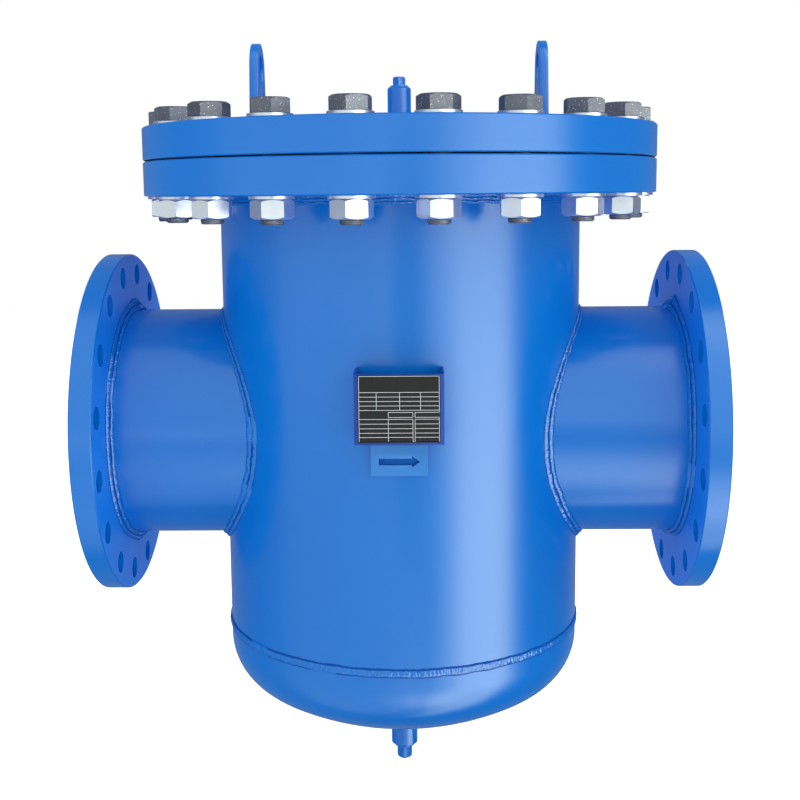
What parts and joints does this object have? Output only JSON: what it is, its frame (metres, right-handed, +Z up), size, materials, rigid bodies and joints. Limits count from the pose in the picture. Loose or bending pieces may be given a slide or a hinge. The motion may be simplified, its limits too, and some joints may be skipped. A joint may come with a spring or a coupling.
{
  "type": "basket strainer",
  "caption": "Upright welded basket strainer with in-line flanged nozzles, a bolted blind lid with lifting lugs, screwed vent and drain plugs and a lift-out basket on a sloping seat.",
  "frame": {"origin": "centre of the inlet flange's sealing face, on the axis of the pipe line", "axes": "+X along the pipe line from the inlet to the outlet, +Z up along the vessel's axis, which stands 425 mm from the origin; the nameplate is on the -Y side"},
  "size_m": [0.85, 0.715, 1.058],
  "materials": {
    "blue_paint": "satin",
    "plate_black": "satin",
    "bolt_steel": "matte",
    "zinc_steel": "satin",
    "plug_steel": "satin",
    "gasket_sheet": "matte",
    "stainless": "satin",
    "sealing_tape": "matte"
  },
  "bodies": {
    "vessel": {"shell": "blue_paint", "dished_end": "blue_paint", "body_flange": "blue_paint", "gasket": "gasket_sheet", "inlet_nozzle": "blue_paint", "outlet_nozzle": "blue_paint", "inlet_flange": "blue_paint", "outlet_flange": "blue_paint", "seat_plate": "blue_paint", "drain_socket": "blue_paint", "girth_weld": "blue_paint", "nozzle_welds": "blue_paint", "flange_welds": "blue_paint", "body_flange_welds": "blue_paint", "drain_socket_weld": "blue_paint", "nameplate_bracket": "blue_paint", "nameplate": "plate_black", "arrow_plate": "blue_paint"},
    "lid": {"lid": "blue_paint", "lug_inlet_side": "blue_paint", "lug_outlet_side": "blue_paint", "vent_socket": "blue_paint", "lid_welds": "blue_paint"},
    "cover_bolts": {"bolts": "bolt_steel", "upper_washers": "zinc_steel"},
    "cover_nuts": {"nuts": "zinc_steel", "lower_washers": "zinc_steel"},
    "vent_thread": {"vent_tape": "sealing_tape"},
    "vent_plug": {"vent_plug": "plug_steel"},
    "drain_thread": {"drain_tape": "sealing_tape"},
    "drain_plug": {"drain_plug": "plug_steel"},
    "basket": {"basket_rim": "stainless", "basket_screen": "stainless", "basket_bottom": "stainless", "basket_hoops": "stainless", "basket_straps": "stainless", "basket_handle": "stainless"}
  },
  "joints": [
    {"name": "lid_lift", "type": "slide", "parent": "vessel", "child": "lid", "axis": [0, 0, 1], "range_m": [0, 0.85]},
    {"name": "bolt_pull", "type": "slide", "parent": "lid", "child": "cover_bolts", "axis": [0, 0, 1], "range_m": [0, 0.14]},
    {"name": "nut_drop", "type": "slide", "parent": "vessel", "child": "cover_nuts", "axis": [0, 0, -1], "range_m": [0, 0.035]},
    {"name": "basket_lift", "type": "slide", "parent": "vessel", "child": "basket", "axis": [0, 0, 1], "range_m": [0, 0.77]},
    {"name": "vent_rise", "type": "slide", "parent": "lid", "child": "vent_thread", "axis": [0, 0, 1], "range_m": [0, 0.0185]},
    {"name": "vent_turn", "type": "hinge", "parent": "vent_thread", "child": "vent_plug", "pos_m": [0.425, 0, 0.475], "axis": [0, 0, 1], "range_deg": [0, 3600]},
    {"name": "drain_fall", "type": "slide", "parent": "vessel", "child": "drain_thread", "axis": [0, 0, -1], "range_m": [0, 0.0188]},
    {"name": "drain_turn", "type": "hinge", "parent": "drain_thread", "child": "drain_plug", "pos_m": [0.425, 0, -0.5], "axis": [0, 0, -1], "range_deg": [0, 2880]}
  ],
  "couplings": [
    {"joint": "basket_lift", "follows": "lid_lift", "ratio": 0.9},
    {"joint": "vent_rise", "follows": "vent_turn", "m_per_rad": 0.00028871},
    {"joint": "drain_fall", "follows": "drain_turn", "m_per_rad": 0.00036749}
  ]
}
